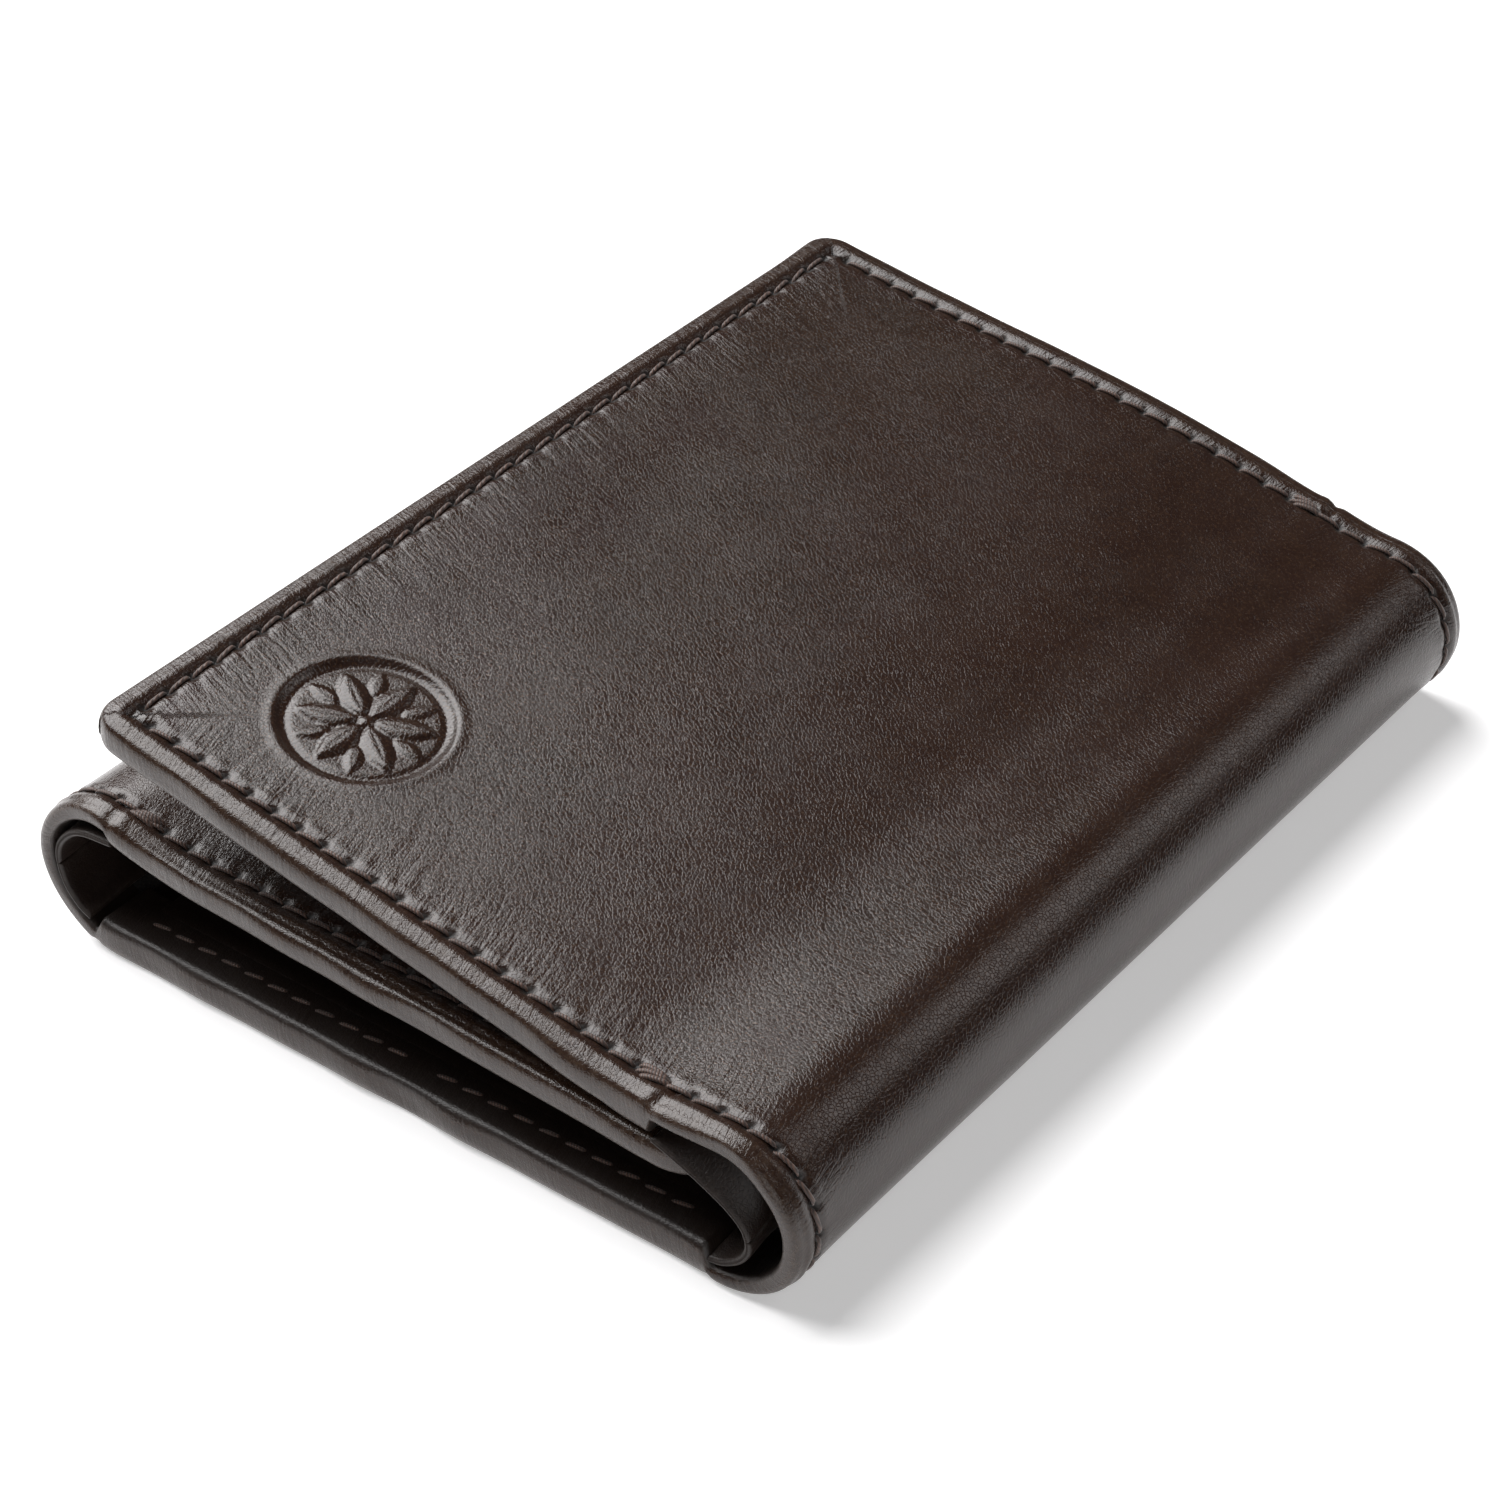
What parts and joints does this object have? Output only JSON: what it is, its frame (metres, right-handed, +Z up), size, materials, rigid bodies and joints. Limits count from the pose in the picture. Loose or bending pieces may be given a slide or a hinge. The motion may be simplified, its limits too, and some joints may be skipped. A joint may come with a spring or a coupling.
{
  "type": "trifold wallet",
  "caption": "Leather trifold wallet, closed: three stitched panels with card pockets and a bill compartment, joined by two folds that open flat.",
  "frame": {"origin": "centre of the closed wallet's footprint, on the surface that it lies on", "axes": "+X across the wallet towards the cover flap's fold, +Y along the folds towards the mouths of the pockets, +Z up through the closed stack"},
  "size_m": [0.0812, 0.1, 0.0262],
  "materials": {
    "outer_leather": "smooth polished dark brown leather, semi-gloss, worn lighter along its turned edges",
    "inner_leather": "thin dark brown leather, satin",
    "lining_fabric": "very dark brown woven lining, matt",
    "thread": "waxed brown sewing thread"
  },
  "bodies": {
    "center": {"center_bar_tacks": "thread", "center_card_pocket_1": "inner_leather", "center_card_pocket_2": "inner_leather", "center_card_pocket_3": "inner_leather", "center_card_pocket_4": "inner_leather", "center_divider_lining": "lining_fabric", "center_edge_thread": "thread", "center_facing": "inner_leather", "center_inner_strips": "inner_leather", "center_shell": "outer_leather", "center_shell_lining": "lining_fabric"},
    "left_spine": {"left_spine_edge_thread": "thread", "left_spine_inner_strip": "inner_leather", "left_spine_shell": "outer_leather", "left_spine_shell_lining": "lining_fabric"},
    "middle_flap": {"middle_flap_bar_tacks": "thread", "middle_flap_card_pocket_1": "inner_leather", "middle_flap_card_pocket_2": "inner_leather", "middle_flap_divider_lining": "lining_fabric", "middle_flap_edge_thread": "thread", "middle_flap_facing": "inner_leather", "middle_flap_inner_strip": "inner_leather", "middle_flap_shell": "outer_leather", "middle_flap_shell_lining": "lining_fabric"},
    "right_spine": {"right_spine_edge_thread": "thread", "right_spine_inner_strip": "inner_leather", "right_spine_shell": "outer_leather", "right_spine_shell_lining": "lining_fabric"},
    "cover_flap": {"cover_flap_bar_tacks": "thread", "cover_flap_card_pocket_1": "inner_leather", "cover_flap_card_pocket_2": "inner_leather", "cover_flap_card_pocket_3": "inner_leather", "cover_flap_divider_lining": "lining_fabric", "cover_flap_edge_thread": "thread", "cover_flap_facing": "inner_leather", "cover_flap_inner_strip": "inner_leather", "cover_flap_notch_filler": "inner_leather", "cover_flap_shell": "outer_leather", "cover_flap_shell_lining": "lining_fabric"}
  },
  "joints": [
    {"name": "right_spine_turn", "type": "hinge", "parent": "center", "child": "right_spine", "pos_m": [0.03898, 0, 0.00162], "axis": [0, 1, 0], "range_deg": [0, 90]},
    {"name": "cover_flap_turn", "type": "hinge", "parent": "right_spine", "child": "cover_flap", "pos_m": [0.03898, 0, 0.01348], "axis": [0, 1, 0], "range_deg": [0, 81]},
    {"name": "left_spine_turn", "type": "hinge", "parent": "center", "child": "left_spine", "pos_m": [-0.03891, 0, 0.00169], "axis": [0, -1, 0], "range_deg": [0, 92]},
    {"name": "middle_flap_turn", "type": "hinge", "parent": "left_spine", "child": "middle_flap", "pos_m": [-0.03891, 0, 0.01401], "axis": [0, -1, 0], "range_deg": [0, 90]}
  ],
  "couplings": [
    {"joint": "cover_flap_turn", "follows": "right_spine_turn", "ratio": 0.9},
    {"joint": "left_spine_turn", "follows": "right_spine_turn", "ratio": 0.08},
    {"joint": "middle_flap_turn", "follows": "right_spine_turn", "ratio": 0.08}
  ]
}
